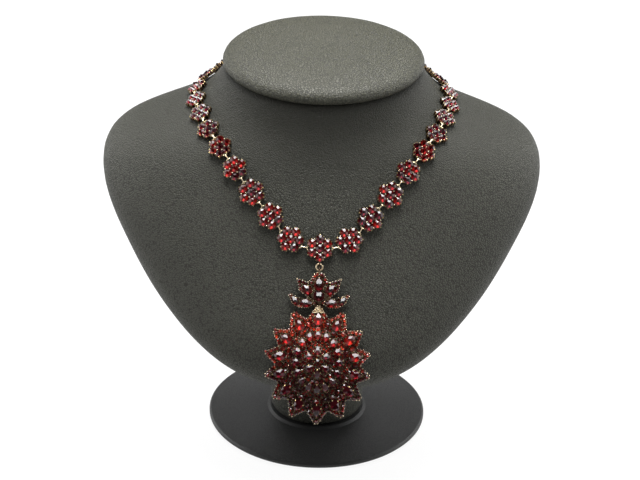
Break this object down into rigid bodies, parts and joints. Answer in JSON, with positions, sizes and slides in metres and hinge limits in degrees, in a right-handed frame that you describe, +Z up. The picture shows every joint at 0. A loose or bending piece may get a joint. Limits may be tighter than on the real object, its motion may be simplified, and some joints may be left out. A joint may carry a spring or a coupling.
{
  "type": "garnet necklace on neck bust",
  "caption": "Necklace of rosette links set with garnets, with a star pendant, lying on a plain black leatherette neck bust that stands on a round foot.",
  "frame": {"origin": "centre of the underside of the round foot", "axes": "+Z up, -Y towards the front where the pendant hangs, +X towards the right shoulder in the front view"},
  "size_m": [0.218, 0.1574, 0.1974],
  "materials": {
    "leatherette": "fine pebble grain, matt",
    "foot_cover": "smooth, satin",
    "gilt": "pale gilt, worn bright on raised edges",
    "garnet": "cut and polished, deep red"
  },
  "bodies": {
    "bust": {"bust_body": "leatherette", "neck_cap": "leatherette", "bust_foot": "foot_cover", "rosette_centre": "gilt", "rosette_right_1": "gilt", "rosette_right_2": "gilt", "rosette_right_3": "gilt", "rosette_right_4": "gilt", "rosette_right_5": "gilt", "rosette_right_6": "gilt", "rosette_right_7": "gilt", "rosette_right_8": "gilt", "rosette_right_9": "gilt", "rosette_right_10": "gilt", "rosette_right_11": "gilt", "rosette_right_12": "gilt", "rosette_right_13": "gilt", "rosette_right_14": "gilt", "rosette_right_15": "gilt", "rosette_left_1": "gilt", "rosette_left_2": "gilt", "rosette_left_3": "gilt", "rosette_left_4": "gilt", "rosette_left_5": "gilt", "rosette_left_6": "gilt", "rosette_left_7": "gilt", "rosette_left_8": "gilt", "rosette_left_9": "gilt", "rosette_left_10": "gilt", "rosette_left_11": "gilt", "rosette_left_12": "gilt", "rosette_left_13": "gilt", "rosette_left_14": "gilt", "rosette_left_15": "gilt", "clasp": "gilt", "jump_rings": "gilt", "rosette_stones_right": "garnet", "rosette_stones_left": "garnet"},
    "ring": {"pendant_ring": "gilt"},
    "pendant": {"crown_setting": "gilt", "star_plate": "gilt", "middle_tier": "gilt", "top_tier": "gilt", "crown_stones": "garnet", "petal_stones": "garnet", "tier_stones_ring": "garnet", "top_stones": "garnet"}
  },
  "joints": [
    {"name": "ring_swing", "type": "hinge", "parent": "bust", "child": "ring", "pos_m": [0, -0.05703, 0.11595], "axis": [-1, 0, 0], "range_deg": [0, 80]},
    {"name": "pendant_sway", "type": "hinge", "parent": "ring", "child": "pendant", "pos_m": [0, -0.0577, 0.11455], "axis": [0, -0.9026, 0.4305], "range_deg": [-20, 20]}
  ]
}
